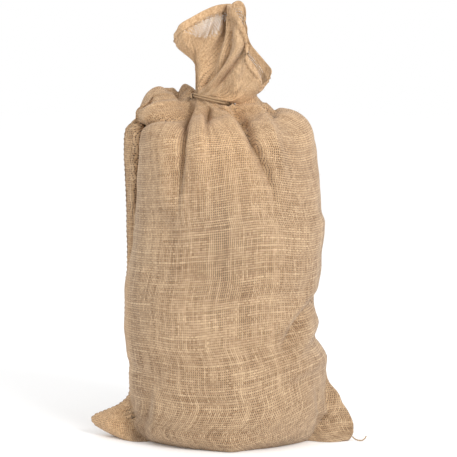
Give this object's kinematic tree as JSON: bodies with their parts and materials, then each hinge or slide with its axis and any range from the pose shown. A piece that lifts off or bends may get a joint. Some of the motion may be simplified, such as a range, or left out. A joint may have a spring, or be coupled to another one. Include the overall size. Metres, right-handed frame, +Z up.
{
  "type": "hessian sack",
  "caption": "Filled hessian sack standing upright, its neck gathered and tied with twine under an open ruffle, with flattened bottom corners and a side seam.",
  "frame": {"origin": "middle of the flat base, on the surface the sack stands on", "axes": "+Z up, the sack's front faces -Y and +X is to the viewer's right"},
  "size_m": [0.4872, 0.266, 0.7694],
  "materials": {
    "hessian": "coarse open plain weave",
    "twine": "twisted jute"
  },
  "bodies": {
    "root": {"sack": "hessian", "tie": "twine", "seam_tail": "twine"}
  },
  "joints": []
}
